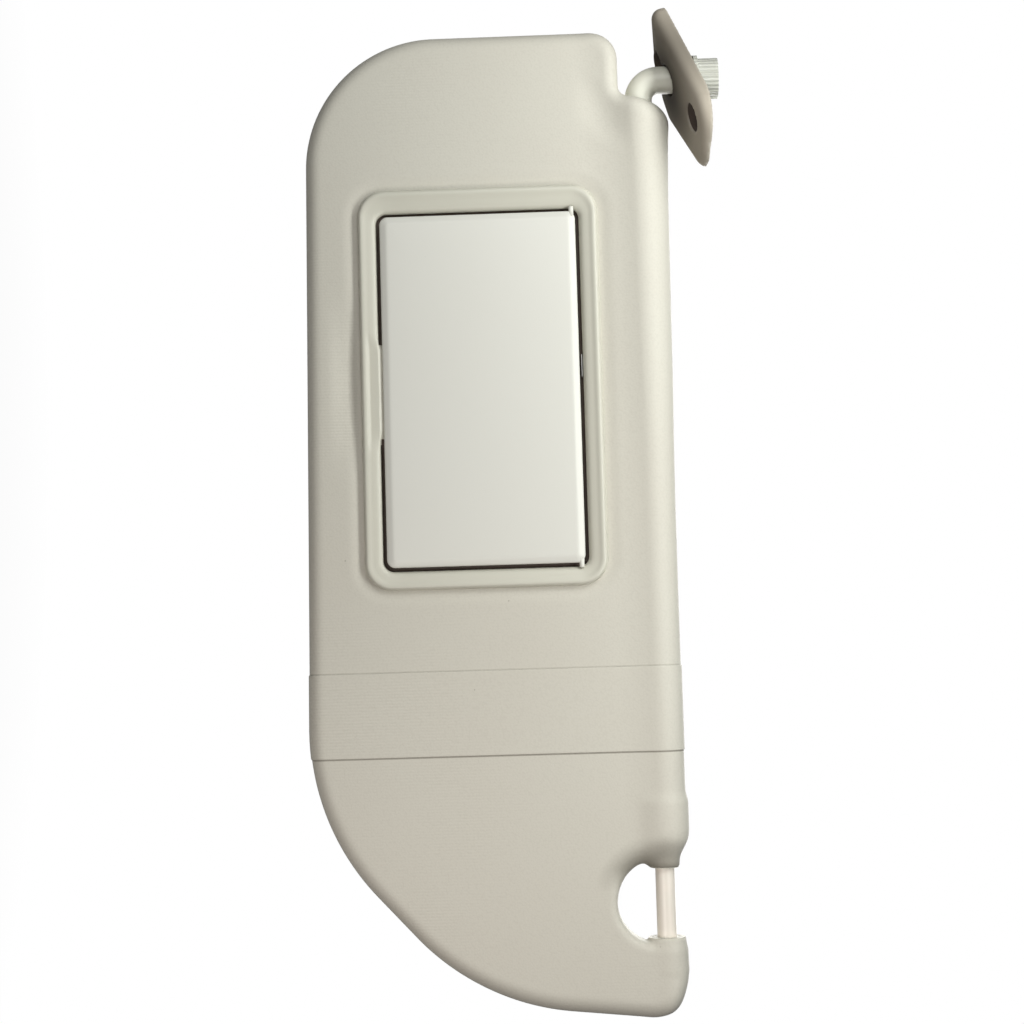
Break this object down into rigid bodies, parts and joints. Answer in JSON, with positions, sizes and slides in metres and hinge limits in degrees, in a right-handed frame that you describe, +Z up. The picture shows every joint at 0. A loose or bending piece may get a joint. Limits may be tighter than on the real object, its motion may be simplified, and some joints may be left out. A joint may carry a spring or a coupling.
{
  "type": "car sun visor",
  "caption": "Padded sun visor on a swinging arm, with a roof bracket, a covered vanity mirror, a thin ticket strap and a bare rod end that snaps into a clip.",
  "frame": {"origin": "on the pivot axis, at the shoulder of the white bush that locates the visor in the roof", "axes": "+X along the hinge rod from the arm to the clip end, +Z up to the roof, -Y towards the person in the seat, whom the mirror faces"},
  "size_m": [0.4153, 0.0608, 0.177],
  "materials": {
    "cover": "fine grained vinyl",
    "foam": "moulded bead foam",
    "bezel": "satin moulded",
    "lid": "satin moulded",
    "arm": "satin moulded",
    "bracket": "fine grained moulded",
    "bush": "natural, smooth",
    "rod": "smooth moulded",
    "socket": "satin moulded",
    "steel": "bright drawn",
    "housing": "moulded",
    "tape": "foam tape",
    "mirror": "silvered"
  },
  "bodies": {
    "bracket": {"mount_plate": "bracket", "pivot_bush": "bush"},
    "arm": {"arm_core": "steel", "arm_sleeve": "arm", "spring_washer": "steel", "push_nut": "steel", "retaining_ring": "steel"},
    "blade": {"skin_front": "cover", "skin_back": "cover", "foam_core": "foam", "wire_frame": "steel", "clamp_housing": "housing", "torque_spring": "steel", "clip_rod": "rod", "rear_socket": "socket", "front_socket": "socket", "mirror_bezel": "bezel", "mirror_pad": "tape", "mirror_glass": "mirror", "lid_spring": "steel", "ticket_strap": "cover"},
    "lid": {"mirror_lid": "lid"}
  },
  "joints": [
    {"name": "arm_swing", "type": "hinge", "parent": "bracket", "child": "arm", "pos_m": [0, 0, 0], "axis": [0, 0, -1], "range_deg": [0, 95]},
    {"name": "blade_fold", "type": "hinge", "parent": "arm", "child": "blade", "pos_m": [0, 0, -0.0246], "axis": [-1, 0, 0], "range_deg": [-60, 84]},
    {"name": "lid_hinge", "type": "hinge", "parent": "blade", "child": "lid", "pos_m": [0.0555, -0.0081, -0.054], "axis": [-1, 0, 0], "range_deg": [0, 105]}
  ]
}
